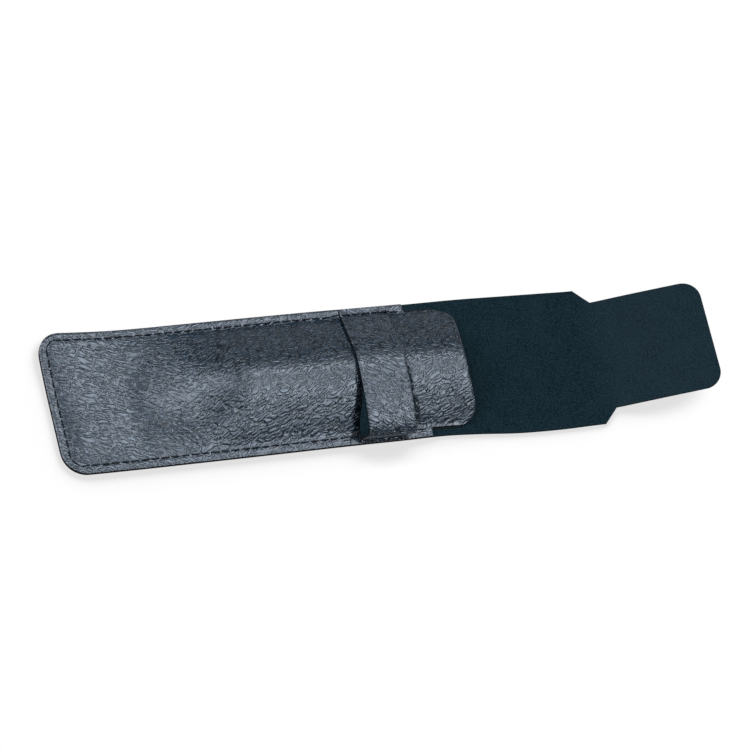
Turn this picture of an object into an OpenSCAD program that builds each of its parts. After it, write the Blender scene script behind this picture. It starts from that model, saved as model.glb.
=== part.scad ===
// Single pen sleeve: a sewn pocket with a loose strap, a fold-over flap and a tuck-in tongue.
// Every panel is a grained cover bonded to a suede lining.
// X runs from the closed end to the flap, Y runs across, and the back lies on Z = 0.
// The origin is on the underside of the back, at the middle of the sewn pocket.

/* [Sheet] */
// Thickness of the grained cover
cover_t = 0.5; // [0.4:0.05:0.8]
// Thickness of the suede lining
lining_t = 0.3; // [0.2:0.05:0.5]

/* [Pocket] */
// Width of the sleeve
sleeve_w = 47; // [42:0.5:60]
// Length of the sewn pocket, from the closed end to the end of the side seams
pocket_l = 119; // [110:1:135]
// Corner radius of the closed end
end_r = 7.5; // [4:0.5:10]
// Height kept open inside the pocket for the pen
pen_room = 11.4; // [8:0.1:13]
// Distance from the centre line to the ridge over the pen, towards the near side
ridge_offset = 1.2; // [0:0.1:2]
// Distance from the closed end to where the ridge starts to rise
rise_start = 24; // [18:1:30]
// Length over which the ridge rises to its full height
rise_l = 38; // [25:1:45]

/* [Lip] */
// Length of the unsewn front lip beyond the side seams
lip_l = 16; // [14:0.5:20]
// Distance from the sleeve's edge to the lip's edge
lip_inset = 2.9; // [1:0.1:3.2]
// Corner radius of the lip
lip_r = 6.8; // [4:0.2:9]
// How far the lip's end draws back on the ridge
lip_draw = 3.6; // [0:0.2:5]

/* [Strap] */
// Distance from the closed end to the strap
strap_start = 98.2; // [90:0.5:100]
// Width of the strap along the sleeve
strap_w = 15.4; // [10:0.2:18]
// Clearance between the strap and the front panel where the strap lies close
strap_ease = 0.4; // [0.3:0.1:1]
// How far the strap's slack hangs out over the near seam
strap_over = 1.8; // [1:0.1:2]
// Height of the strap's slack over the near seam
strap_slack = 3.6; // [3.2:0.1:4.5]
// How far the strap draws back on the ridge
strap_draw = 2; // [0:0.2:3]

/* [Flap] */
// Distance from the closed end to the fold of the flap
fold_start = 153.5; // [153:0.5:160]
// Length of the flap from its fold to the tongue's crease
flap_l = 23.5; // [20:0.5:28]
// Gap between two panels that meet at a crease
crease_gap = 0.4; // [0.3:0.1:0.8]

/* [Tongue] */
// Length of the tongue from its crease to its tip
tongue_l = 39.8; // [35:0.2:41]
// Width of the tongue
tongue_w = 37; // [30:0.5:40]
// Length of the slanted shoulders
shoulder_l = 4.8; // [3:0.2:8]
// Corner radius of the tongue's tip
tongue_r = 5.8; // [3:0.2:9]
// Angle at which the tongue stands up from the flap
tongue_rest = 14; // [8:1:16]

/* [Stitching] */
// Distance from the sleeve's edge to the stitch line
stitch_inset = 2.5; // [2.2:0.1:2.6]
// Width of the margin that the seam presses flat
seam_flat = 3.5; // [3.4:0.1:4]
// Distance from one stitch to the next
stitch_pitch = 3.2; // [2.5:0.1:4]
// Length of one stitch
stitch_l = 2.5; // [1.8:0.1:2.8]
// Diameter of the thread
thread_d = 0.35; // [0.25:0.05:0.35]
// Distance from a corner of the stitch line to where it turns off
corner_cut = 2.4; // [2:0.1:4]
// Number of stitches that run on past the end of each side seam
tack_count = 3; // [2:1:4]

/* [Hidden] */
$fn = 64;

COVER = [0.24, 0.28, 0.33];
LINING = [0.08, 0.15, 0.18];
THREAD = [0.05, 0.07, 0.10];

// A panel's full thickness, and the heights of the stacked faces at a side seam
sheet_t = cover_t + lining_t;
lining_top = sheet_t;
seam_top = 2 * sheet_t;

// Places along X
closed_x = -pocket_l / 2;
seam_end_x = closed_x + pocket_l;
lip_x = seam_end_x + lip_l;
strap_x = closed_x + strap_start;
fold_x = closed_x + fold_start;
crease_x = fold_x + flap_l;
rise_x = closed_x + rise_start;
rise_end_x = rise_x + rise_l;

// Places across Y
half_w = sleeve_w / 2;
lip_half_w = half_w - lip_inset;
stitch_y = half_w - stitch_inset;
flat_y = half_w - seam_flat;
ridge_y = -ridge_offset;

// The grid of the front panel: columns from the ridge to each flat margin, and rows along X
side_columns = 9;
column_spread = 1.5;
corner_rows = 5;
rise_rows = 7;
seam_step = 0.8;
least_margin = 0.4;

// Clearance round a thread in its groove, and a lift that keeps it off its seat
thread_ease = 0.02;
groove_w = thread_d + 8 * thread_ease;

// A small amount that carries a cut past a face
cut = 1;

// Smooth step from 0 at a to 1 at b
function smooth(x, a, b) = let (t = max(0, min(1, (x - a) / (b - a)))) t * t * (3 - 2 * t);

// Height of the room for the pen at y: a round cap on the ridge and a straight flank to each margin
function tent(y) =
    let (d = abs(y - ridge_y),
         span = y > ridge_y ? flat_y - ridge_y : flat_y + ridge_y,
         r = pen_room / 2,
         flank = 2 * atan(r / span))
    d >= span ? 0 : d > r * sin(flank) ? (span - d) * tan(flank) : r + sqrt(r * r - d * d);

// Height of the front panel's inner face over the back's lining
function bulge(x, y) = smooth(x, rise_x, rise_end_x) * tent(y);

// Half width of the front panel at x, with rounded corners at the closed end and on the lip
function round_off(d, r) = d >= r ? 0 : r - sqrt(r * r - (r - d) * (r - d));
function front_half_w(x) =
    x <= seam_end_x ? half_w - round_off(x - closed_x, end_r)
                    : lip_half_w - round_off(lip_x - x, lip_r);

// Rows of the front panel's grid
front_rows = concat(
    [for (k = [0 : corner_rows - 1]) closed_x + end_r * (1 - cos(90 * k / (corner_rows - 1)))],
    [for (k = [0 : rise_rows]) rise_x + rise_l * k / rise_rows],
    [strap_x, strap_x + strap_w, seam_end_x, seam_end_x + seam_step],
    [for (k = [0 : corner_rows - 1]) lip_x - lip_r * (1 - sin(90 * k / (corner_rows - 1)))]);

// Columns of the front panel's grid at x, from the near edge to the far edge
function side_y(x, side) =
    let (shoulder = min(flat_y, front_half_w(x) - least_margin))
    [for (k = [1 : side_columns])
        ridge_y + (side * shoulder - ridge_y) * pow(k / side_columns, column_spread)];
function reversed(list) = [for (k = [len(list) - 1 : -1 : 0]) list[k]];
function columns(x) = concat([-front_half_w(x)], reversed(side_y(x, -1)), [ridge_y],
                             side_y(x, 1), [front_half_w(x)]);

// One point of the front panel at a height over its inner face; the lip's end draws back on the ridge
function front_point(x, y, lift) =
    let (h = bulge(x, y))
    [x - lip_draw * smooth(x, strap_x + strap_w, lip_x) * h / pen_room, y, lining_top + h + lift];

// Curves for the strap's profile across the sleeve
function bezier(a, b, c, d, t) =
    pow(1 - t, 3) * a + 3 * t * pow(1 - t, 2) * b + 3 * t * t * (1 - t) * c + t * t * t * d;
function unit(v) = v / norm(v);
function left_of(a, b) = let (d = unit(b - a)) [-d[1], d[0]];
// A line set off by a distance to its left, mitred at its points
function set_off(line, distance) = [for (k = [0 : len(line) - 1])
    let (n1 = left_of(line[max(k - 1, 0)], line[max(k, 1)]),
         n2 = left_of(line[min(k, len(line) - 2)], line[min(k + 1, len(line) - 1)]))
    line[k] + distance * (n1 + n2) / (1 + n1 * n2)];

// The strap's inner face, as points [y, z] from the near edge over the slack and the ridge
// to the far edge
strap_steps = 14;
strap_base = seam_top + strap_ease;
ridge_top = strap_base + tent(ridge_y);
wall_foot = [-flat_y - 0.05, seam_top];
wall_top = [-flat_y + strap_ease, seam_top + 1.3];
slack_point = [-flat_y - strap_over, seam_top + strap_slack];
slack_pull = 1.2;
strap_line = concat(
    [[-half_w, seam_top], wall_foot],
    [for (k = [0 : 5])
        bezier(wall_top, wall_top + [0, slack_pull], slack_point - [0, slack_pull], slack_point, k / 5)],
    [for (k = [1 : strap_steps])
        bezier(slack_point, slack_point + [0.8, 2.6], [ridge_y - 4, ridge_top], [ridge_y, ridge_top],
               k / strap_steps)],
    [for (k = [1 : side_columns - 1])
        let (y = ridge_y + (flat_y - ridge_y) * pow(k / side_columns, column_spread))
        [y, strap_base + tent(y)]],
    [[flat_y, seam_top], [half_w, seam_top]]);

// A closed solid between two grids of points with the same rows and columns
module grid_solid(bottom, top) {
    rows = len(bottom);
    cols = len(bottom[0]);
    count = rows * cols;
    points = concat([for (row = bottom) each row], [for (row = top) each row]);
    rim = concat([for (j = [0 : cols - 1]) j],
                 [for (i = [1 : rows - 1]) i * cols + cols - 1],
                 [for (j = [cols - 2 : -1 : 0]) (rows - 1) * cols + j],
                 [for (i = [rows - 2 : -1 : 1]) i * cols]);
    lower = [for (i = [0 : rows - 2], j = [0 : cols - 2])
        let (a = i * cols + j)
        each [[a, a + 1, a + cols + 1], [a, a + cols + 1, a + cols]]];
    upper = [for (f = lower) [f[2] + count, f[1] + count, f[0] + count]];
    sides = [for (k = [0 : len(rim) - 1])
        let (a = rim[k], b = rim[(k + 1) % len(rim)])
        each [[a, a + count, b + count], [a, b + count, b]]];
    polyhedron(points, concat(lower, upper, sides));
}

// The front panel between two heights over its inner face
module front_layer(low, high) {
    grid_solid([for (x = front_rows) [for (y = columns(x)) front_point(x, y, low)]],
               [for (x = front_rows) [for (y = columns(x)) front_point(x, y, high)]]);
}

// The strap between two distances from its inner face; it draws back where it stands high
module strap_layer(inner, outer) {
    function edge(x, line) = [for (p = line) [x - strap_draw * (p[1] - seam_top) / pen_room, p[0], p[1]]];
    low = set_off(strap_line, inner);
    high = set_off(strap_line, outer);
    grid_solid([edge(strap_x, low), edge(strap_x + strap_w, low)],
               [edge(strap_x, high), edge(strap_x + strap_w, high)]);
}

// A flat panel of the back, from one place on X to another
module back_layer(from_x, to_x, low, high) {
    translate([from_x, -half_w, low])
        cube([to_x - from_x, sleeve_w, high - low]);
}

// The pocket's back with its rounded corners
module pocket_back(low, high) {
    translate([0, 0, low])
        linear_extrude(high - low)
            union() {
                translate([closed_x + end_r, -half_w])
                    square([fold_start - end_r - crease_gap / 2, sleeve_w]);
                translate([closed_x, -half_w + end_r])
                    square([2 * end_r, sleeve_w - 2 * end_r]);
                for (side = [-1, 1])
                    translate([closed_x + end_r, side * (half_w - end_r)])
                        circle(end_r);
            }
}

// The tongue's outline, with its crease on Y
module tongue_outline() {
    half_t = tongue_w / 2;
    union() {
        polygon([[crease_gap / 2, -half_w], [shoulder_l, -half_t], [shoulder_l, half_t],
                 [crease_gap / 2, half_w]]);
        translate([shoulder_l - crease_gap, -half_t])
            square([tongue_l - shoulder_l - tongue_r + crease_gap, tongue_w]);
        translate([tongue_l - 2 * tongue_r, -half_t + tongue_r])
            square([2 * tongue_r, tongue_w - 2 * tongue_r]);
        for (side = [-1, 1])
            translate([tongue_l - tongue_r, side * (half_t - tongue_r)])
                circle(tongue_r);
    }
}

// One layer of the tongue, turned up about the crease on the lining's face
module tongue_layer(low, high) {
    translate([crease_x, 0, lining_top])
        rotate([0, -tongue_rest, 0])
            translate([0, 0, low - lining_top])
                linear_extrude(high - low)
                    tongue_outline();
}

// Start and end of each straight run of the seam
run_end = seam_end_x - stitch_inset / 2;
runs = [
    [[run_end, stitch_y], [closed_x + stitch_inset + corner_cut, stitch_y]],
    [[closed_x + stitch_inset, stitch_y - corner_cut], [closed_x + stitch_inset, corner_cut - stitch_y]],
    [[closed_x + stitch_inset + corner_cut, -stitch_y], [run_end, -stitch_y]]];
corners = [
    [[closed_x + stitch_inset + corner_cut, stitch_y], [closed_x + stitch_inset, stitch_y - corner_cut]],
    [[closed_x + stitch_inset, corner_cut - stitch_y], [closed_x + stitch_inset + corner_cut, -stitch_y]]];

// Centres and directions of all stitches of the seam
function stitches_on(run) =
    let (a = run[0], b = run[1], n = floor(norm(b - a) / stitch_pitch))
    [for (k = [0 : n - 1]) [a + (b - a) * (k + 0.5) / n, unit(b - a), stitch_l]];
function corner_stitch(run) =
    [(run[0] + run[1]) / 2, unit(run[1] - run[0]), norm(run[1] - run[0]) - stitch_pitch + stitch_l];
function on_strap(p) =
    p[0] > strap_x - strap_draw - stitch_l && p[0] < strap_x + strap_w + stitch_l;
seam = concat([for (run = runs) each stitches_on(run)], [for (c = corners) corner_stitch(c)]);
tacks = [for (side = [-1, 1], k = [0 : tack_count - 1])
    [[seam_end_x + seam_step + stitch_pitch * (k + 0.5), side * stitch_y], [1, 0], stitch_l]];

// One stitch as a short length of thread along its direction, at a height of its axis
module stitch(at, z) {
    translate([at[0][0], at[0][1], z])
        rotate([0, 0, atan2(at[1][1], at[1][0])])
            rotate([0, 90, 0])
                cylinder(h = at[2], d = thread_d, center = true, $fn = 16);
}

// A groove in the underside for one run of the lower thread
module groove(a, b) {
    translate([a[0], a[1], 0])
        rotate([0, 0, atan2(b[1] - a[1], b[0] - a[0])])
            translate([-groove_w / 2, -groove_w / 2, -cut])
                cube([norm(b - a) + groove_w, groove_w, cut + thread_d + 2 * thread_ease]);
}

module back_cover() {
    color(COVER)
        difference() {
            pocket_back(0, cover_t);
            for (run = concat(runs, corners))
                groove(run[0], run[1]);
            for (side = [-1, 1])
                groove([run_end, side * stitch_y],
                       [seam_end_x + stitch_pitch * (tack_count + 0.5), side * stitch_y]);
        }
}

module back_lining() {
    color(LINING)
        pocket_back(cover_t, sheet_t);
}

module front_lining() {
    color(LINING)
        front_layer(0, lining_t);
}

module front_cover() {
    color(COVER)
        front_layer(lining_t, sheet_t);
}

module strap_lining() {
    color(LINING)
        strap_layer(0, lining_t);
}

module strap_cover() {
    color(COVER)
        strap_layer(lining_t, sheet_t);
}

module front_stitching() {
    rest = thread_d / 2 + thread_ease;
    color(THREAD) {
        for (at = seam)
            stitch(at, (on_strap(at[0]) ? seam_top + sheet_t : seam_top) + rest);
        for (at = tacks)
            stitch(at, lining_top + rest);
    }
}

module back_stitching() {
    color(THREAD)
        for (at = concat(seam, tacks))
            stitch(at, thread_d / 2 + thread_ease);
}

module flap_cover() {
    color(COVER)
        back_layer(fold_x + crease_gap / 2, crease_x - crease_gap / 2, 0, cover_t);
}

module flap_lining() {
    color(LINING)
        back_layer(fold_x + crease_gap / 2, crease_x - crease_gap / 2, cover_t, sheet_t);
}

module tongue_cover() {
    color(COVER)
        tongue_layer(0, cover_t);
}

module tongue_lining() {
    color(LINING)
        tongue_layer(cover_t, sheet_t);
}

back_cover();
back_lining();
front_cover();
front_lining();
strap_cover();
strap_lining();
front_stitching();
back_stitching();
flap_cover();
flap_lining();
tongue_cover();
tongue_lining();
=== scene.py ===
"""Looks of the single pen sleeve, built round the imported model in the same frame.

Sizes in the making are in millimetres; finished meshes are in metres. X runs from the closed end to
the tongue, Y across the sleeve and Z up.
"""

import math

import bpy
import numpy as np
from mathutils import Matrix, Vector


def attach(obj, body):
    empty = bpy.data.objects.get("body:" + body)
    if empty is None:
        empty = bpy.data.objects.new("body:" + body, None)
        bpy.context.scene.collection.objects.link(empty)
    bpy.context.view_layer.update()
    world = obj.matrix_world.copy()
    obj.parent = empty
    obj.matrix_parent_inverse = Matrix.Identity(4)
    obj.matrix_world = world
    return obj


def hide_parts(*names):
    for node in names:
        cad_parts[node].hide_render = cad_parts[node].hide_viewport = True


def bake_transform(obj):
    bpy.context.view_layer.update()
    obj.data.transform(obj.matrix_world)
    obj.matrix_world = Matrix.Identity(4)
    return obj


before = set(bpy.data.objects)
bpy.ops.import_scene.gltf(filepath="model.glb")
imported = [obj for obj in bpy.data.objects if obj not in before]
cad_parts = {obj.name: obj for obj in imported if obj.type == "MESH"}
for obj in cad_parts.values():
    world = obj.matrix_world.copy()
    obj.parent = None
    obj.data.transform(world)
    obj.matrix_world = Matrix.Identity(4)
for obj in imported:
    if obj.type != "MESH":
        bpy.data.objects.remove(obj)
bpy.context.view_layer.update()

MM = 0.001

# Sizes of the sleeve
COVER_T = 0.5
LINING_T = 0.3
SHEET_T = COVER_T + LINING_T
SEAM_TOP = 2 * SHEET_T
HALF_W = 23.5
CLOSED_X = -59.5
END_R = 7.5
SEAM_END_X = 59.5
LIP_X = 75.5
LIP_HALF_W = 20.6
LIP_R = 6.8
LIP_DRAW = 3.6
FLAT_Y = 20.0
RIDGE_Y = -1.2
PEN_ROOM = 11.4
RIDGE_SOFT = 0.35
RISE_X = -35.5
RISE_END_X = 2.5
STRAP_X = 38.7
STRAP_W = 15.4
STRAP_EASE = 0.4
STRAP_DRAW = 2.0
STRAP_TURN_R = 0.85
STRAP_FOOT_SHIFT = 3.0
STRAP_END_SHORT = 0.5
FOLD_X = 94.0
CREASE_X = 117.5
TONGUE_L = 39.8
TONGUE_HALF_W = 18.5
SHOULDER_L = 4.8
TONGUE_R = 5.8
STITCH_INSET = 2.5
STITCH_PITCH = 3.2
STITCH_L = 2.5
THREAD_R = 0.23
CORNER_CUT = 2.4
# Single stitches on the bare lining past the seam's end: how many, and where they start
TACK_COUNT = 3
TACK_START = 0.8
# The thread lies sunk in the sheet, on the underside so far that the sleeve lies flat
STITCH_SINK = 0.2
LOWER_THREAD_Z = 0.42
# How deep and how far to each side the thread pulls the cover in
SEAM_DENT = 0.26
SEAM_DENT_REACH = 0.55
# How deep and over what width a cover's face falls away towards its cut edge
EDGE_DROP = 0.24
EDGE_WIDTH = 0.9
# Heights of the front panel's relief: its fill behind the seam, the dip under the strap, the creases
# on the lip and on the body, and broad and small lumps
PUFF_H = 0.3
STRAP_DIP = 0.75
LIP_FOLD_H = 0.22
BODY_FOLD_H = 0.13
LUMP_H = (0.09, 0.02)
# How far the strap's right edge is pressed down on the far side
PRESSED_H = 0.26
# Edges sharper than this are shaded sharp
SHARP_ANGLE = math.radians(50)
# Distances from a panel's edge at which its mesh always has points
RIM_STEPS = [0, 0.12, 0.3, 0.55, 0.9]

TIP_X = CREASE_X + TONGUE_L
STITCH_Y = HALF_W - STITCH_INSET
# The back is made in two lengths, each of which crosses one joint. They meet in the flap's middle.
SPLIT_X = (FOLD_X + CREASE_X) / 2

# How far each side lies outside its straight line, as (x, distance)
NEAR_SWAY = [(-70, 0.3), (-48, 0.35), (-16, 0.0), (16, -0.5), (30, -0.75), (50, -0.95), (65, -1.15),
             (75, -0.65), (88, 0.3), (102, 0.5), (116, 0.1), (124, 0.0), (170, 0.0)]
FAR_SWAY = [(-70, 0.0), (-46, -0.15), (-33, -0.4), (-7, -0.2), (26, 0.1), (59, 0.1), (80, 0.25),
            (93, 0.05), (107, -0.15), (117, -0.3), (124, -0.1), (170, 0.0)]
# The far corner of the closed end turns up, and the closed end stands slightly askew
CURL_H = 2.2
CURL_REACH = 25.0
END_SKEW = 0.02
# The back turns over this length on each side of the fold, and its rows are dense over the longer one
DENSE_REACH = 8.0
# The flap bends up into the tongue between these places
BEND_FROM, BEND_TO = 114.5, 127.5
BEND_ANGLE = math.radians(16)

# Materials: width and length of the leatherette's wrinkles and cells in mm, depths of relief in m
WRINKLE = (0.95, 2.6)
CELL = (1.9, 4.8)
GRAIN_DEPTH = 0.00013
NAP_DEPTH = 0.00012
FIBRE_DEPTH = 0.00008
STRAND_DEPTH = 0.00004

# Light, in metres
LIGHT_OVER = (0.045, 0, 0)
LIGHT_AWAY = 0.65
# Name, far end and near end of the middle line as directions, width, length and level. All but the
# last make up one long soft box: its whole face, brighter middle, two tubes and dim far end.
SOFT_BOXES = (("box_face", (0.30, 0.50, 0.80), (0.30, -0.70, 0.64), 0.6, 1.36, 0.72),
              ("box_middle", (0.30, 0.38, 0.86), (0.30, -0.74, 0.60), 0.34, 0.9, 0.82),
              ("far_tube", (0.25, 0.60, 0.75), (0.25, 0.22, 0.93), 0.28, 0.24, 1.85),
              ("near_tube", (0.30, -0.50, 0.81), (0.30, -0.70, 0.65), 0.34, 0.16, 1.8),
              ("far_glow", (0.30, 0.88, 0.40), (0.30, 0.55, 0.80), 0.6, 0.32, 0.4),
              ("left_box", (-0.55, 0.75, 0.50), (-0.50, -0.35, 0.79), 0.5, 0.86, 2.1))
WORLD_LEVEL = 0.12
FLOOR_WHITE = 0.4
# Direction, reach and darkness of the shadow painted on the white floor
SHADOW_FROM = (0.2, 0.58, 0.79)
SHADOW_REACH = 0.010
SHADOW_LEVEL = 0.74
# Name, place along Y and height of the cards that stay dark in the flanks' reflections
DARK_CARDS = (("far_card", 0.6, 0.7), ("near_card", -0.6, 0.4))

# Camera, fitted to the outline in the photograph: its direction and distance from where it aims, in
# metres, its roll and its lens in mm
CAMERA_BACK = (-0.32356, -0.39194, 0.86122)
CAMERA_AIM = (0.04607, 0.000684, 0)
CAMERA_AWAY = 1.558
CAMERA_ROLL = math.radians(30.171)
CAMERA_LENS = 240


# Shapes

def smooth(x, a, b):
    """Smooth step from 0 at a to 1 at b."""
    t = np.clip((np.asarray(x, float) - a) / (b - a), 0, 1)
    return t * t * (3 - 2 * t)


def through(knots, x):
    """A smooth curve through the knots (x, value)."""
    kx, kv = np.array(knots, float).T
    slope = np.gradient(kv, kx)
    i = np.clip(np.searchsorted(kx, x) - 1, 0, len(kx) - 2)
    h = kx[i + 1] - kx[i]
    t = np.clip((x - kx[i]) / h, 0, 1)
    return ((1 + 2 * t) * (1 - t) ** 2 * kv[i] + t * (1 - t) ** 2 * h * slope[i]
            + t * t * (3 - 2 * t) * kv[i + 1] + t * t * (t - 1) * h * slope[i + 1])


def lumps(x, y, size, seed):
    """Smooth noise from -1 to 1 with lumps about size mm across."""
    n = 64
    table = np.random.default_rng(seed).uniform(-1, 1, (n, n))
    u, v = np.asarray(x, float) / size + 29, np.asarray(y, float) / size + 29
    i, j = np.floor(u).astype(int), np.floor(v).astype(int)
    a, b = smooth(u - i, 0, 1), smooth(v - j, 0, 1)

    def at(p, q):
        return table[(i + p) % n, (j + q) % n]

    return ((at(0, 0) * (1 - a) + at(1, 0) * a) * (1 - b)
            + (at(0, 1) * (1 - a) + at(1, 1) * a) * b)


def round_off(d, r):
    """How far a rounded corner of radius r lies inside its side, at distance d from the end."""
    d = np.clip(d, 0, r)
    return r - np.sqrt(np.maximum(r * r - (r - d) ** 2, 0))


def tent(y):
    """Height of the room for the pen: a soft ridge that runs out to the flat margins."""
    d = np.asarray(y, float) - RIDGE_Y
    t = np.minimum(np.abs(d) / np.where(d > 0, FLAT_Y - RIDGE_Y, FLAT_Y + RIDGE_Y), 1)
    return PEN_ROOM * (1 + RIDGE_SOFT - np.sqrt(RIDGE_SOFT ** 2 + (1 + 2 * RIDGE_SOFT) * t * t))


def bulge(x, y):
    """Height of the room for the pen, which rises behind the closed end."""
    return smooth(x, RISE_X, RISE_END_X) * tent(y)


def front_half_w(x):
    """Half of the front panel's width."""
    pocket = HALF_W - round_off(x - CLOSED_X, END_R)
    lip = LIP_HALF_W - round_off(LIP_X - x, LIP_R)
    return np.where(x <= SEAM_END_X, pocket, lip)


def back_half_w(x):
    """Half of the back's width, with the flap and the tongue."""
    pocket = HALF_W - round_off(x - CLOSED_X, END_R)
    shoulder = np.interp(x, [CREASE_X, CREASE_X + SHOULDER_L], [HALF_W, TONGUE_HALF_W])
    return np.where(x <= CREASE_X, pocket, shoulder - round_off(TIP_X - x, TONGUE_R))


def edge_distance(x, y):
    """Distance inwards from the sewn outline: the closed end with its round corners and both sides."""
    side, end = HALF_W - np.abs(y), x - CLOSED_X
    corner = END_R - np.hypot(np.maximum(END_R - side, 0), np.maximum(END_R - end, 0))
    return np.where((side < END_R) & (end < END_R), corner, np.minimum(side, end))


def lip_distance(x, y):
    """Distance inwards from the lip's outline."""
    side, end = LIP_HALF_W - np.abs(y), LIP_X - x
    corner = LIP_R - np.hypot(np.maximum(LIP_R - side, 0), np.maximum(LIP_R - end, 0))
    return np.where((side < LIP_R) & (end < LIP_R), corner, np.minimum(side, end))


def settled(points):
    """Where points of the flat-cut, sewn sleeve come to lie: its sides sway, a corner curls up, the
    closed end is askew and the flap bends up into the tongue. Layers keep their distances."""
    p = np.array(points, float)
    x, y, z = p[..., 0].copy(), p[..., 1].copy(), p[..., 2].copy()
    sway = np.where(y < 0, -through(NEAR_SWAY, x), through(FAR_SWAY, x))
    away = np.hypot(x - CLOSED_X, y - HALF_W)
    p[..., 1] = y + sway * smooth(np.abs(y), 6, HALF_W)
    z = z + CURL_H * np.clip(1 - away / CURL_REACH, 0, 1) ** 2
    x = x - END_SKEW * y * smooth(-x, 25, -CLOSED_X)
    s = np.linspace(BEND_FROM, TIP_X + 2, 400)
    angle = BEND_ANGLE * smooth(s, BEND_FROM, BEND_TO)
    step = np.diff(s)
    run = np.concatenate([[0], np.cumsum(np.cos(angle[1:]) * step)])
    rise = np.concatenate([[0], np.cumsum(np.sin(angle[1:]) * step)])
    turn = np.interp(x, s, angle)
    p[..., 0] = np.where(x > BEND_FROM, BEND_FROM + np.interp(x, s, run) - np.sin(turn) * z, x)
    p[..., 2] = np.where(x > BEND_FROM, np.interp(x, s, rise) + np.cos(turn) * z, z)
    return p


# Meshes

def mesh_object(name, points, faces, spots, materials, slots, wear_and_light=None):
    """A mesh in the row frame. points are in mm, and spots are the places on the uncut sheet that
    its grain follows, so that the grain stays with it in every pose."""
    mesh = bpy.data.meshes.new(name)
    mesh.from_pydata((np.asarray(points) * MM).tolist(), [], faces)
    for m in materials:
        mesh.materials.append(m)
    mesh.polygons.foreach_set("material_index", np.asarray(slots, np.int32))
    mesh.polygons.foreach_set("use_smooth", np.ones(len(mesh.polygons), bool))
    layer = mesh.attributes.new("sheet_mm", "FLOAT_VECTOR", "POINT")
    layer.data.foreach_set("vector", np.asarray(spots, np.float32).ravel())
    # This attribute holds real wear on the covers and painted light on the tongue's lining
    layer = mesh.attributes.new("wear_and_light", "FLOAT", "POINT")
    worn_and_lit = np.zeros(len(points)) if wear_and_light is None else np.asarray(wear_and_light)
    layer.data.foreach_set("value", worn_and_lit.astype(np.float32))
    mesh.validate()
    mesh.set_sharp_from_angle(angle=SHARP_ANGLE)
    obj = bpy.data.objects.new(name, mesh)
    bpy.context.scene.collection.objects.link(obj)
    return obj


def perimeter(rows, cols):
    """Indices round a grid, counterclockwise as seen from above."""
    out = [(i, 0) for i in range(rows)] + [(rows - 1, j) for j in range(1, cols)]
    back = [(i, cols - 1) for i in range(rows - 2, -1, -1)] + [(0, j) for j in range(cols - 2, 0, -1)]
    return out + back


def shell(name, low, high, face_material, edge_material, wear_and_light=None, bulge_out=0.05):
    """A closed sheet between two grids of points with the same rows and columns. Its cut edge is
    slightly rounded."""
    rows, cols = low.shape[:2]
    n = rows * cols
    ring = perimeter(rows, cols)
    index = np.array([i * cols + j for i, j in ring])
    a, b = low.reshape(-1, 3)[index], high.reshape(-1, 3)[index]
    along = np.roll(a, -1, 0) - np.roll(a, 1, 0)
    out = np.cross(along, b - a)
    out /= np.linalg.norm(out, axis=1)[:, None] + 1e-9
    rings = [a + (b - a) * 0.25 + out * bulge_out, a + (b - a) * 0.7 + out * bulge_out]
    points = np.vstack([low.reshape(-1, 3), high.reshape(-1, 3), *rings])
    i, j = np.meshgrid(np.arange(rows - 1), np.arange(cols - 1), indexing="ij")
    q = (i * cols + j).ravel()
    upper = np.stack([q, q + cols, q + cols + 1, q + 1], 1) + n
    lower = upper[:, ::-1] - n
    m = len(ring)
    loops = [index, 2 * n + np.arange(m), 2 * n + m + np.arange(m), n + index]
    rim = [np.stack([lo, np.roll(lo, -1), np.roll(hi, -1), hi], 1) for lo, hi in zip(loops, loops[1:])]
    faces = np.vstack([lower, upper, *rim])
    slots = np.concatenate([np.zeros(len(lower) + len(upper)), np.ones(3 * m)])
    worn_and_lit = None
    if wear_and_light is not None:
        flat = np.asarray(wear_and_light).ravel()
        worn_and_lit = np.concatenate([flat, flat, flat[index], flat[index]])
    return mesh_object(name, settled(points), faces.tolist(), points, [face_material, edge_material],
                       slots, worn_and_lit)


def columns(half_w, inner, spacing):
    """Places across a row of a panel: fixed ones near its edge, and even ones inside."""
    edge = half_w - np.array(RIM_STEPS)
    count = int(round((HALF_W - RIM_STEPS[-1]) / spacing))
    even = np.linspace(0, HALF_W - RIM_STEPS[-1], count + 1)[:-1]
    squeezed = np.where(even <= inner, even,
                        inner + (even - inner) * (edge[-1] - inner) / (HALF_W - RIM_STEPS[-1] - inner))
    right = np.concatenate([squeezed[1:], edge[::-1]])
    return np.concatenate([-right[::-1], [0], right])


def arc_rows(start, r, towards, count=15):
    """Places along X round a corner of radius r that starts at start."""
    return start + towards * r * (1 - np.cos(np.linspace(0, math.pi / 2, count)))


def even_rows(a, b, spacing):
    return np.linspace(a, b, int(round((b - a) / spacing)) + 1)


def panel_plan(rows, half_w, inner, spacing):
    """Grids x and y of a panel."""
    y = np.array([columns(w, inner, spacing) for w in half_w(rows)])
    x = np.repeat(rows[:, None], y.shape[1], 1)
    return x, y


# Relief of the panels

def fan(x, y, centre, turns, seed):
    """Creases from -1 to 1 that run out from a centre like a fan."""
    dx, dy = x - centre[0], y - centre[1]
    angle = np.arctan2(dy, dx)
    reach = np.hypot(dx, dy)
    line = lumps(angle * turns * 10, reach * 0.9 + 40, 10, seed)
    return 1 - 2 * np.abs(line)


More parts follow.
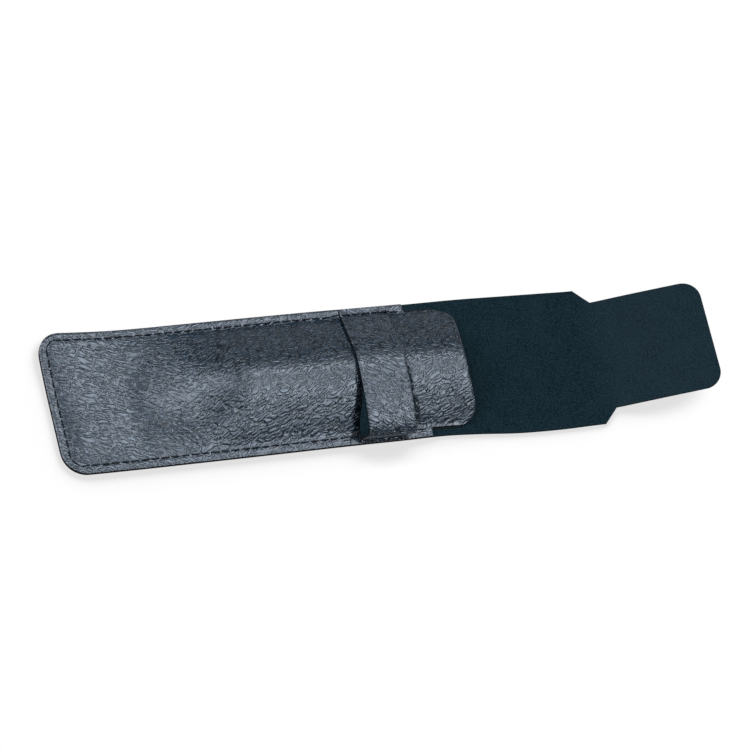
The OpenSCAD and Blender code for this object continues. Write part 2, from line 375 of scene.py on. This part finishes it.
def front_relief(x, y):
    """Height that the sewn front panel stands over its even shape."""
    inside = edge_distance(x, y)
    puff = PUFF_H * smooth(inside, 2.6, 8.5)
    back = STRAP_DRAW * tent(y) / PEN_ROOM
    left, right = STRAP_X - back, STRAP_X + STRAP_W - back
    left_reach, right_reach = 1.4 + 3.0 * smooth(-y, 0, 20), 1.2 + 1.8 * smooth(-y, 8, 20)
    under_strap = (smooth(x, left - left_reach, left + 0.4)
                   * (1 - smooth(x, right - 0.8, right + right_reach)))
    low_side = smooth(-y, -2, 9)
    dip = STRAP_DIP * under_strap * smooth(-y, -3, 6) * smooth(inside, 3.4, 7)
    lip = smooth(x, STRAP_X + STRAP_W - 2, STRAP_X + STRAP_W + 5) * low_side
    body = (1 - smooth(x, STRAP_X - 8, STRAP_X - 1)) * smooth(inside, 3, 7)
    folds = LIP_FOLD_H * lip * fan(x, y, (44, -19), 2.6, 5)
    folds = folds + BODY_FOLD_H * body * low_side * fan(x, y, (-15, -30), 2.2, 9)
    soft = LUMP_H[0] * body * lumps(x, y, 9, 3) + LUMP_H[1] * body * lumps(x, y, 3.6, 4)
    return puff * (1 - 0.8 * under_strap) + (folds + soft) * (1 - under_strap) - dip


def seam_dent(x, y):
    """How deep the thread pulls the cover in along the stitch line."""
    inside = edge_distance(x, y)
    on_seam = 1 - smooth(x, SEAM_END_X - 0.2, SEAM_END_X + 0.3)
    pulls = 0.75 + 0.25 * np.cos(2 * math.pi * (x + y) / STITCH_PITCH)
    return SEAM_DENT * pulls * np.exp(-((inside - STITCH_INSET) / SEAM_DENT_REACH) ** 2) * on_seam


def edge_drop(distance):
    """How far a cover's face falls away towards its cut edge."""
    return EDGE_DROP * np.clip(1 - distance / EDGE_WIDTH, 0, 1) ** 2


def edge_wear(distance):
    """Wear along a cut edge."""
    return np.clip(1 - distance / 0.8, 0, 1)


def margin_wear(distance):
    """Wear between the seam and the edge."""
    return 0.35 * (1 - smooth(distance, 1.9, 2.6))


def front_grid(x, y, lift):
    """Places of the front panel's layer that lies lift above its underside."""
    h = bulge(x, y)
    draw = LIP_DRAW * smooth(x, STRAP_X + STRAP_W, LIP_X) * h / PEN_ROOM
    return np.stack([x - draw, y, SHEET_T + h + front_relief(x, y) + lift], -1)


# Strap

def bezier(a, b, c, d, t):
    a, b, c, d = (np.array(v, float) for v in (a, b, c, d))
    t = np.asarray(t, float)[:, None]
    return (1 - t) ** 3 * a + 3 * t * (1 - t) ** 2 * b + 3 * t * t * (1 - t) * c + t ** 3 * d


def strap_line():
    """The strap's inner face as points (y, z) from the near edge to the far edge: the sewn margin, a
    turn back over it, the fold that hangs over the margin, the slack, the ridge and the far flank."""
    base = SEAM_TOP + STRAP_EASE
    top = base + float(tent(RIDGE_Y))
    r = STRAP_TURN_R
    turn = np.array([-FLAT_Y - 0.05, SEAM_TOP + r])
    under = turn + [0, r]
    low = np.array([-FLAT_Y - 1.7, SEAM_TOP + 2 * r + 0.1])
    out = np.array([-FLAT_Y - 2.35, SEAM_TOP + 2.3])
    shoulder = np.array([-FLAT_Y - 1.6, SEAM_TOP + 3.6])
    margin = np.linspace(-HALF_W, turn[0], 9)
    round_turn = np.linspace(0, math.pi, 9)[1:]
    flank = np.linspace(RIDGE_Y, FLAT_Y, 56)[1:-1]
    far = np.linspace(FLAT_Y, HALF_W - STRAP_END_SHORT, 9)
    return np.vstack([
        np.column_stack([margin, np.full(9, SEAM_TOP)]),
        np.column_stack([turn[0] + r * np.sin(round_turn), turn[1] - r * np.cos(round_turn)]),
        bezier(under, under - [0.6, 0], low + [0.5, 0], low, np.linspace(0, 1, 6)[1:]),
        bezier(low, low - [0.45, 0], out - [0.1, 0.35], out, np.linspace(0, 1, 6)[1:]),
        bezier(out, out + [0, 0.45], shoulder - [0.4, 0.6], shoulder, np.linspace(0, 1, 8)[1:]),
        bezier(shoulder, shoulder + [1.6, 2.4], [RIDGE_Y - 7, top], [RIDGE_Y, top],
               np.linspace(0, 1, 60)[1:]),
        np.column_stack([flank, base + tent(flank)]),
        np.column_stack([far, np.full(9, SEAM_TOP)])])


def set_off(line, distance):
    """A line moved to its left by a distance, mitred at its points."""
    step = np.diff(line, axis=0)
    step /= np.linalg.norm(step, axis=1)[:, None]
    left = np.column_stack([-step[:, 1], step[:, 0]])
    n1, n2 = np.vstack([left[:1], left]), np.vstack([left, left[-1:]])
    return line + distance * (n1 + n2) / (1 + (n1 * n2).sum(1))[:, None]


def strap_foot(line):
    """1 where the strap's near foot is sewn on, falling to 0 above it."""
    return (1 - smooth(line[:, 1], SEAM_TOP + 2 * STRAP_TURN_R, SEAM_TOP + 4)) * (line[:, 0] < 0)


def strap_grid(line, rows):
    """Rows of the strap along X. It draws back where it stands high, and its near foot is moved left, so
    that its suede shows beside the fold as a dark strip that stands for the shade there: painted shade."""
    high = (line[:, 1] - SEAM_TOP) / PEN_ROOM
    grid = np.zeros((len(rows), len(line), 3))
    grid[:, :, 0] = rows[:, None] - (STRAP_DRAW * high + STRAP_FOOT_SHIFT * strap_foot(line))[None, :]
    grid[:, :, 1] = line[None, :, 0]
    grid[:, :, 2] = line[None, :, 1]
    return grid


# Stitches

def seam_stitches():
    """Every stitch as place, direction and length, and whether it is in the seam or on the bare lining."""
    inner, low = CLOSED_X + STITCH_INSET, STITCH_Y - CORNER_CUT
    run_end = SEAM_END_X - STITCH_INSET / 2
    runs = [((run_end, STITCH_Y), (inner + CORNER_CUT, STITCH_Y)), ((inner, low), (inner, -low)),
            ((inner + CORNER_CUT, -STITCH_Y), (run_end, -STITCH_Y))]
    corners = [((inner + CORNER_CUT, STITCH_Y), (inner, low)),
               ((inner, -low), (inner + CORNER_CUT, -STITCH_Y))]
    found = []
    for a, b in runs:
        a, b = np.array(a), np.array(b)
        reach = np.linalg.norm(b - a)
        n = int(reach / STITCH_PITCH)
        found += [(a + (b - a) * (k + 0.5) / n, (b - a) / reach, STITCH_L, "seam") for k in range(n)]
    for a, b in corners:
        a, b = np.array(a), np.array(b)
        reach = np.linalg.norm(b - a)
        found.append(((a + b) / 2, (b - a) / reach, reach - STITCH_PITCH + STITCH_L, "seam"))
    for side in (-1, 1):
        for k in range(TACK_COUNT):
            at = np.array([SEAM_END_X + TACK_START + STITCH_PITCH * (k + 0.5), side * STITCH_Y])
            found.append((at, np.array([1.0, 0.0]), STITCH_L, "lining"))
    return found


def on_strap(at):
    return STRAP_X - STRAP_DRAW - STITCH_L < at[0] < STRAP_X + STRAP_W + STITCH_L


def thread_mesh(name, paths, material):
    """Short lengths of thread, one along each path."""
    sides = 8
    points, faces, spots = [], [], []
    for number, path in enumerate(paths):
        start = len(points)
        along = np.gradient(path, axis=0)
        along /= np.linalg.norm(along, axis=1)[:, None]
        across = np.cross(along, [0, 0, 1])
        across /= np.linalg.norm(across, axis=1)[:, None]
        up = np.cross(across, along)
        gone = np.concatenate([[0], np.cumsum(np.linalg.norm(np.diff(path, axis=0), axis=1))])
        for k, p in enumerate(path):
            for m in range(sides):
                a = 2 * math.pi * m / sides
                points.append(p + THREAD_R * (math.cos(a) * across[k] + math.sin(a) * up[k]))
                spots.append([gone[k] + 7.3 * number, math.cos(a), math.sin(a)])
        for k in range(len(path) - 1):
            for m in range(sides):
                a, b = start + k * sides + m, start + k * sides + (m + 1) % sides
                faces.append([a, b, b + sides, a + sides])
        faces.append([start + m for m in range(sides)][::-1])
        faces.append([start + (len(path) - 1) * sides + m for m in range(sides)])
    return mesh_object(name, settled(points), faces, spots, [material], np.zeros(len(faces)))


def stitch_path(at, direction, length, z, up):
    """One stitch: out of its hole, over the sheet in a low bow and into the next hole."""
    t = np.linspace(-0.5, 0.5, 11)
    ends = smooth(np.abs(t), 0.38, 0.5)
    lift = THREAD_R * 0.45 + 0.08 * (1 - (2 * t) ** 2) - 0.42 * ends
    path = np.zeros((len(t), 3))
    path[:, :2] = at + np.outer(t * (length + 0.35), direction)
    path[:, 2] = z + up * lift
    return path


# Materials

class Graph:
    """Short calls that build one material's nodes."""

    def __init__(self, name):
        self.material = bpy.data.materials.new(name)
        self.material.use_nodes = True
        self.tree = self.material.node_tree
        self.tree.nodes.clear()

    @classmethod
    def on(cls, tree):
        g = cls.__new__(cls)
        g.tree = tree
        tree.nodes.clear()
        return g

    def add(self, kind, settings=None, **inputs):
        node = self.tree.nodes.new("ShaderNode" + kind)
        for key, value in (settings or {}).items():
            setattr(node, key, value)
        for key, value in inputs.items():
            socket = node.inputs[int(key[1:])] if key[0] == "i" and key[1:].isdigit() else \
                node.inputs[key.replace("_", " ")]
            if isinstance(value, bpy.types.NodeSocket):
                self.tree.links.new(value, socket)
            else:
                socket.default_value = value
        return node

    def math(self, operation, a, b=0.5, clamp=False):
        return self.add("Math", {"operation": operation, "use_clamp": clamp}, i0=a, i1=b).outputs[0]

    def ramp(self, value, low, high, to_low=0.0, to_high=1.0):
        node = self.add("MapRange", {"interpolation_type": "SMOOTHSTEP"}, i0=value, i1=low, i2=high,
                        i3=to_low, i4=to_high)
        return node.outputs[0]

    def mix(self, factor, a, b):
        node = self.add("Mix", {"data_type": "RGBA"})
        for socket, value in ((node.inputs[0], factor), (node.inputs[6], a), (node.inputs[7], b)):
            if isinstance(value, bpy.types.NodeSocket):
                self.tree.links.new(value, socket)
            else:
                socket.default_value = value
        return node.outputs[2]

    def finish(self, shader):
        out = self.add("OutputMaterial")
        self.tree.links.new(shader, out.inputs["Surface"])
        return self.material


def colour(r, g, b):
    return (r, g, b, 1.0)


def attribute(g, name, output):
    return g.add("Attribute", {"attribute_name": name}).outputs[output]


def warped(g, at, scale, amount):
    """Places moved about by noise, so that a pattern of cells looks grown and not drawn."""
    noise = g.add("TexNoise", None, Vector=at, Scale=scale, Detail=2.0)
    moved = g.add("VectorMath", {"operation": "MULTIPLY_ADD"}, i0=noise.outputs["Color"],
                  i1=(amount, amount, amount), i2=at)
    return moved.outputs[0]


def drawn_out(g, at, turn, wide, long):
    """Places for a pattern of that width and length, drawn out along a turn."""
    along = g.add("Mapping", {"vector_type": "TEXTURE"}, Vector=at, Rotation=(0, 0, turn),
                  Scale=(long, wide, 3.0)).outputs[0]
    return warped(g, along, 0.8, 0.5)


def cells(g, at, turn, wide, long):
    """Distance to the creases between closed cells."""
    spots = drawn_out(g, at, turn, wide, long)
    return g.add("TexVoronoi", {"feature": "DISTANCE_TO_EDGE"}, Vector=spots, Scale=1.0,
                 Randomness=0.85).outputs["Distance"]


def wrinkles(g, at, turn, wide, long):
    """About the distance to the creases between open, wavy wrinkles."""
    noise = g.add("TexNoise", None, Vector=drawn_out(g, at, turn, wide, long), Scale=1.0, Detail=0.0)
    return g.math("MULTIPLY", g.math("ABSOLUTE", g.math("SUBTRACT", noise.outputs["Fac"], 0.5)), 2.0)


def leather_material(name, turn, left_turn=None):
    """Wrinkled leatherette: open wrinkles and some closed cells, and creases painted dark as shade that
    run along a turn. Where a second turn is given, they follow that one near the closed end."""
    g = Graph(name)
    at = attribute(g, "sheet_mm", "Vector")
    worn_and_lit = attribute(g, "wear_and_light", "Fac")
    broad = warped(g, at, 0.09, 3.0)
    edge = wrinkles(g, broad, turn, *WRINKLE)
    fold = cells(g, broad, turn, *CELL)
    if left_turn is not None:
        place = g.ramp(g.add("SeparateXYZ", None, Vector=broad).outputs[0], -22.0, -8.0)
        other = wrinkles(g, broad, left_turn, *WRINKLE)
        edge = g.add("Mix", None, i0=place, i2=other, i3=edge).outputs[0]
        other = cells(g, broad, left_turn, *CELL)
        fold = g.add("Mix", None, i0=place, i2=other, i3=fold).outputs[0]
    depth = g.add("TexNoise", None, Vector=at, Scale=0.35, Detail=1.0).outputs["Fac"]
    pores = g.add("TexNoise", None, Vector=at, Scale=1.3, Detail=1.0).outputs["Fac"]
    sunk = g.math("MULTIPLY", g.ramp(edge, 0.19, 0.04), g.ramp(depth, 0.35, 0.6, 0.75, 1.0))
    sunk = g.math("MAXIMUM", sunk, g.math("MULTIPLY", g.ramp(fold, 0.13, 0.03), 0.95))
    height = g.math("SUBTRACT", g.ramp(edge, 0.0, 0.5, 0.0, 0.5), sunk)
    height = g.math("ADD", height, g.math("MULTIPLY", pores, 0.12))
    bump = g.add("Bump", None, Height=height, Strength=1.0, Distance=GRAIN_DEPTH)
    patch = g.add("TexNoise", None, Vector=at, Scale=0.16, Detail=3.0)
    base = g.mix(g.ramp(patch.outputs["Fac"], 0.35, 0.65), colour(0.014, 0.032, 0.054),
                 colour(0.018, 0.038, 0.064))
    # The creases are painted near black: painted shade in the creases
    base = g.mix(g.math("MULTIPLY", sunk, 0.9), base, colour(0.002, 0.005, 0.009))
    base = g.mix(g.math("MULTIPLY", worn_and_lit, 0.5), base, colour(0.05, 0.06, 0.075))
    rough = g.ramp(pores, 0.3, 0.7, 0.23, 0.29)
    shader = g.add("BsdfPrincipled", None, Base_Color=base, Roughness=rough, Normal=bump.outputs[0])
    shader.inputs["IOR"].default_value = 2.2
    shader.inputs["Specular Tint"].default_value = colour(0.76, 0.86, 1.0)
    return g.finish(shader.outputs[0])


def suede_material(name):
    """Napped lining: matt, with a fine speckle and soft brushed patches, and painted paler on the bent-up
    tongue as painted light.
    """
    g = Graph(name)
    at = attribute(g, "sheet_mm", "Vector")
    worn_and_lit = attribute(g, "wear_and_light", "Fac")
    nap = g.add("TexNoise", None, Vector=at, Scale=2.2, Detail=4.0, Roughness=0.75)
    patch = g.add("TexNoise", None, Vector=at, Scale=0.14, Detail=2.0)
    specks = g.add("TexVoronoi", {"feature": "F1"}, Vector=at, Scale=0.33)
    base = g.mix(g.ramp(nap.outputs["Fac"], 0.36, 0.64), colour(0.003, 0.0105, 0.016),
                 colour(0.0155, 0.035, 0.047))
    base = g.mix(g.math("MULTIPLY", g.ramp(patch.outputs["Fac"], 0.4, 0.7), 0.25), base,
                 colour(0.015, 0.034, 0.045))
    # Paler on the bent-up tongue: painted light for its tilt, carried in the wear attribute
    base = g.mix(g.math("MULTIPLY", worn_and_lit, 0.2), base, colour(0.03, 0.05, 0.07))
    base = g.mix(g.math("MULTIPLY", g.ramp(specks.outputs["Distance"], 0.05, 0.02), 0.5), base,
                 colour(0.05, 0.075, 0.075))
    bump = g.add("Bump", None, Height=nap.outputs["Fac"], Strength=0.8, Distance=NAP_DEPTH)
    shader = g.add("BsdfPrincipled", None, Base_Color=base, Roughness=0.95, Normal=bump.outputs[0])
    shader.inputs["Specular IOR Level"].default_value = 0.0
    shader.inputs["Sheen Weight"].default_value = 0.02
    shader.inputs["Sheen Roughness"].default_value = 0.5
    return g.finish(shader.outputs[0])


def cut_edge_material(name):
    """The raw cut through the sheet: black backing with loose fibres."""
    g = Graph(name)
    at = attribute(g, "sheet_mm", "Vector")
    fibre = g.add("TexNoise", None, Vector=at, Scale=4.5, Detail=3.0)
    base = g.mix(g.ramp(fibre.outputs["Fac"], 0.35, 0.7), colour(0.003, 0.004, 0.006),
                 colour(0.012, 0.015, 0.019))
    bump = g.add("Bump", None, Height=fibre.outputs["Fac"], Strength=0.7, Distance=FIBRE_DEPTH)
    shader = g.add("BsdfPrincipled", None, Base_Color=base, Roughness=0.85, Normal=bump.outputs[0])
    shader.inputs["Specular IOR Level"].default_value = 0.25
    return g.finish(shader.outputs[0])


def thread_material(name):
    """Dark twisted sewing thread."""
    g = Graph(name)
    at = attribute(g, "sheet_mm", "Vector")
    split = g.add("SeparateXYZ", None, Vector=at)
    turn = g.math("ARCTAN2", split.outputs[2], split.outputs[1])
    along = g.math("MULTIPLY", split.outputs[0], 9.0)
    strands = g.math("SINE", g.math("ADD", along, g.math("MULTIPLY", turn, 2.0)))
    fibre = g.add("TexNoise", None, Vector=at, Scale=6.0, Detail=2.0)
    base = g.mix(g.ramp(strands, -1.0, 0.6), colour(0.002, 0.003, 0.006), colour(0.008, 0.011, 0.02))
    height = g.math("ADD", g.math("MULTIPLY", strands, 0.5), fibre.outputs["Fac"])
    bump = g.add("Bump", None, Height=height, Strength=1.0, Distance=STRAND_DEPTH)
    shader = g.add("BsdfPrincipled", None, Base_Color=base, Roughness=0.6, Normal=bump.outputs[0])
    shader.inputs["Specular IOR Level"].default_value = 0.3
    return g.finish(shader.outputs[0])


# Pieces

def front_panel(leather, suede, cut):
    """The sewn front: its cover and its lining."""
    rows = np.unique(np.round(np.concatenate([
        arc_rows(CLOSED_X, END_R, 1), even_rows(CLOSED_X + END_R, SEAM_END_X, 0.5),
        even_rows(SEAM_END_X + 0.4, LIP_X - LIP_R, 0.5), arc_rows(LIP_X, LIP_R, -1)]), 4))
    x, y = panel_plan(rows, front_half_w, 12, 0.5)
    on_pocket = x <= SEAM_END_X
    rim = np.where(on_pocket, edge_distance(x, y), lip_distance(x, y))
    ridge = smooth(bulge(x, y), PEN_ROOM - 1.2, PEN_ROOM) * 0.25
    wear_and_light = edge_wear(rim) + on_pocket * margin_wear(rim) + ridge
    top = front_grid(x, y, SHEET_T)
    top[..., 2] -= seam_dent(x, y) + edge_drop(rim)
    between = front_grid(x, y, LINING_T)
    cover = shell("front_panel_face", between, top, leather, cut, wear_and_light)
    lining = shell("front_panel_backing", front_grid(x, y, 0.02), between, suede, cut)
    return cover, lining


def strap(leather, suede, cut):
    """The loose cross strap: its cover and its lining."""
    line = strap_line()
    rim_rows, inset = np.array(RIM_STEPS[:-1]), RIM_STEPS[-1]
    rows = STRAP_X + np.concatenate([rim_rows, even_rows(inset, STRAP_W - inset, 0.5),
                                     STRAP_W - rim_rows[::-1]])
    end = np.minimum(rows - STRAP_X, STRAP_X + STRAP_W - rows)
    drop = edge_drop(end)[:, None] * 0.7
    outer = strap_grid(set_off(line, SHEET_T), rows)
    outer[..., 2] -= drop * (outer[..., 2] > SEAM_TOP + 4)
    side = HALF_W - np.abs(line[:, 0])
    margin = margin_wear(side) * (line[:, 1] < SEAM_TOP + 0.5)
    wear_and_light = edge_wear(end)[:, None] + margin[None, :]
    dent = np.exp(-((side - STITCH_INSET) / SEAM_DENT_REACH) ** 2) * (line[:, 1] < SEAM_TOP + 0.2)
    outer[..., 2] -= SEAM_DENT * dent[None, :]
    inner, between = strap_grid(set_off(line, 0.02), rows), strap_grid(set_off(line, LINING_T), rows)
    # On the far side the strap's right edge is pressed down on the lip, and flat at the margin
    pressed = PRESSED_H * smooth(rows, STRAP_X + STRAP_W - 4, STRAP_X + STRAP_W)[:, None]
    flattened = smooth(line[:, 0], 17, FLAT_Y)[None, :]
    outer[..., 2] -= pressed * 1.3 * flattened
    for grid in (inner, between, outer):
        grid[..., 2] -= pressed * smooth(line[:, 0], 0, 5)[None, :] * (1 - flattened)
    cover = shell("strap_face", between, outer, leather, cut, wear_and_light)
    # Over the moved foot the lining shows past the cover's left edge: a dark sheet put where there is
    # shade beside the strap, as painted shade
    spread = (1 - smooth(line[:, 1], SEAM_TOP + 5, SEAM_TOP + 11.5)) - strap_foot(line)
    painted_shade_shift = STRAP_FOOT_SHIFT * spread * (line[:, 0] < 0) * (line[:, 1] > SEAM_TOP + 1)
    for grid in (inner, between):
        grid[..., 0] -= painted_shade_shift[None, :] * (1 - smooth(rows, STRAP_X, STRAP_X + 4))[:, None]
    lining = shell("strap_backing", inner, between, suede, cut)
    return cover, lining, float(np.linalg.norm(np.diff(line, axis=0), axis=1).sum())


def back_sheets(leather, suede, cut):
    """The back with its flap and tongue, in two lengths that meet in the flap's middle."""
    first = np.unique(np.round(np.concatenate([
        arc_rows(CLOSED_X, END_R, 1), even_rows(CLOSED_X + END_R, FOLD_X - DENSE_REACH, 1.0),
        even_rows(FOLD_X - DENSE_REACH, FOLD_X + DENSE_REACH, 0.4),
        even_rows(FOLD_X + DENSE_REACH, SPLIT_X, 0.75)]), 4))
    second = np.unique(np.round(np.concatenate([
        even_rows(SPLIT_X, CREASE_X, 0.75), even_rows(CREASE_X, CREASE_X + SHOULDER_L, 0.48),
        even_rows(CREASE_X + SHOULDER_L, TIP_X - TONGUE_R, 0.6), arc_rows(TIP_X, TONGUE_R, -1)]), 4))
    made = {}
    for key, rows in (("pocket_back", first), ("tongue", second)):
        x, y = panel_plan(rows, back_half_w, 12, 0.8)
        rim = back_half_w(x) - np.abs(y)
        wear_and_light = edge_wear(rim) * 0.7
        under = np.stack([x, y, edge_drop(rim) * 0.6], -1)
        between, top = (np.stack([x, y, np.full_like(x, z)], -1) for z in (COVER_T, SHEET_T))
        # The tongue's lining is painted paler where it bends up: painted light, passed on as wear
        painted_tongue_light = smooth(x, BEND_FROM, BEND_TO)
        cover = shell(key + "_face", under, between, leather, cut, wear_and_light)
        lining = shell(key + "_backing", between, top, suede, cut, painted_tongue_light)
        made[key] = (cover, lining)
    return made


def stitching(thread):
    """The upper and the lower thread of the seam."""
    upper, lower = [], []
    for at, direction, length, place in seam_stitches():
        z = SHEET_T if place == "lining" else SEAM_TOP - STITCH_SINK
        if place == "seam" and on_strap(at):
            z = SEAM_TOP + SHEET_T - STITCH_SINK
        upper.append(stitch_path(at, direction, length, z, 1))
        lower.append(stitch_path(at, direction, length, LOWER_THREAD_Z, -1))
    return thread_mesh("upper_thread", upper, thread), thread_mesh("lower_thread", lower, thread)


# Floor, light and camera

def seen_directly(g):
    """1 for rays from the camera, which show the plain white background."""
    return g.add("LightPath").outputs["Is Camera Ray"]


def make_floor():
    """A white floor. Seen directly, it is plain white with a painted soft shadow, shaped like the shadow
    of a broad light from behind the sleeve."""
    obj = plane("floor", 3.0, 3.0)
    g = Graph("floor_white")
    x, y, z = SHADOW_FROM
    towards = g.add("CombineXYZ", None, X=x, Y=y, Z=z).outputs[0]
    # Occlusion towards that direction darkens the white: painted shadow
    open_sky = g.add("AmbientOcclusion", {"samples": 16}, Distance=SHADOW_REACH, Normal=towards)
    level = g.ramp(open_sky.outputs["AO"], 0.68, 0.95, SHADOW_LEVEL, 1.0)
    paper = g.add("BsdfDiffuse", None, Color=colour(*[FLOOR_WHITE] * 3)).outputs[0]
    white = g.add("Emission", None, Color=colour(1, 1, 1), Strength=level).outputs[0]
    shader = g.add("MixShader", None, i0=seen_directly(g), i1=paper, i2=white)
    obj.data.materials.append(g.finish(shader.outputs[0]))
    obj.location.z = -0.00005


def plane(name, half_x, half_y):
    """A flat piece of the stage, one that isn't part of the sleeve."""
    mesh = bpy.data.meshes.new(name)
    corners = [(-half_x, -half_y, 0), (half_x, -half_y, 0), (half_x, half_y, 0), (-half_x, half_y, 0)]
    mesh.from_pydata(corners, [], [(0, 1, 2, 3)])
    obj = bpy.data.objects.new(name, mesh)
    bpy.context.scene.collection.objects.link(obj)
    return obj


def make_lights():
    """A long soft box over the sleeve, one on its left, two dark cards and a dim white world."""
    for name, far_end, near_end, wide, long, level in SOFT_BOXES:
        over_far, over_near = Vector(far_end).normalized(), Vector(near_end).normalized()
        towards = (over_far + over_near).normalized()
        width = (over_far - over_near).cross(towards).normalized()
        length = towards.cross(width)
        place = Vector(LIGHT_OVER) + towards * LIGHT_AWAY
        data = bpy.data.lights.new(name, "AREA")
        data.shape = "RECTANGLE"
        data.size, data.size_y = wide, long
        data.energy = level * math.pi * wide * long
        box = bpy.data.objects.new(name, data)
        bpy.context.scene.collection.objects.link(box)
        turned = Matrix((width, length, towards)).transposed().to_4x4()
        box.matrix_world = Matrix.Translation(place) @ turned
        box.visible_camera = False

    g = Graph("dark_card")
    black = g.finish(g.add("BsdfDiffuse", None, Color=colour(0.02, 0.02, 0.02)).outputs[0])
    for name, y, height in DARK_CARDS:
        card = plane(name, 1.2, height / 2)
        card.matrix_world = Matrix.Translation((0.05, y, height / 2 + 0.01)) @ \
            Matrix.Rotation(math.pi / 2, 4, "X")
        card.visible_camera = False
        card.visible_shadow = False
        card.data.materials.append(black)

    world = bpy.data.worlds.new("studio")
    bpy.context.scene.world = world
    world.use_nodes = True
    g = Graph.on(world.node_tree)
    seen = seen_directly(g)
    level = g.add("MapRange", None, i0=seen, i1=0.0, i2=1.0, i3=WORLD_LEVEL, i4=1.0).outputs[0]
    sky = g.add("Background", None, Color=colour(1, 1, 1), Strength=level).outputs[0]
    g.tree.links.new(sky, g.add("OutputWorld").inputs["Surface"])


def make_camera():
    """The photograph's view: from the near left, 59 degrees above the horizon, rolled."""
    data = bpy.data.cameras.new("camera")
    data.sensor_width, data.lens = 36, CAMERA_LENS
    data.clip_start, data.clip_end = 0.1, 20
    back = Vector(CAMERA_BACK).normalized()
    right = (-back).cross(Vector((0, 0, 1))).normalized()
    up = right.cross(-back)
    x = right * math.cos(CAMERA_ROLL) + up * math.sin(CAMERA_ROLL)
    y = up * math.cos(CAMERA_ROLL) - right * math.sin(CAMERA_ROLL)
    cam = bpy.data.objects.new("camera", data)
    bpy.context.scene.collection.objects.link(cam)
    place = Vector(CAMERA_AIM) + back * CAMERA_AWAY
    cam.matrix_world = Matrix.Translation(place) @ Matrix((x, y, back)).transposed().to_4x4()
    bpy.context.scene.camera = cam


def build():
    """All pieces; each hides the imported parts it stands for, and the front, strap and stitching ride on
    the sleeve.
    """
    leather = leather_material("front_leatherette", 0.43, -0.37)
    strap_leather = leather_material("strap_leatherette", -0.5)
    back_leather = leather_material("back_leatherette", 0.25)
    suede = suede_material("suede_lining")
    cut = cut_edge_material("cut_edge")
    thread = thread_material("sewing_thread")

    front_cover, front_lining = front_panel(leather, suede, cut)
    strap_cover, strap_lining, strap_l = strap(strap_leather, suede, cut)
    backs = back_sheets(back_leather, suede, cut)
    upper, lower = stitching(thread)

    plain = ((front_cover, "front_cover", "cover"), (front_lining, "front_lining", "lining"),
             (strap_cover, "strap_cover", "cover"), (strap_lining, "strap_lining", "lining"),
             (upper, "front_stitching", "thread"), (lower, "back_stitching", "thread"))
    for piece, node, slot in plain:
        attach(piece, "sleeve")
        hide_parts(node)
    for k, slot in enumerate(("cover", "lining")):
        piece = backs["pocket_back"][k]
        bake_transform(piece)
        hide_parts("back_" + slot, "flap_" + slot)
        piece = backs["tongue"][k]
        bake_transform(piece)
        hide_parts("tongue_" + slot)


build()
make_floor()
make_lights()
make_camera()
bpy.context.scene.view_settings.view_transform = "Standard"
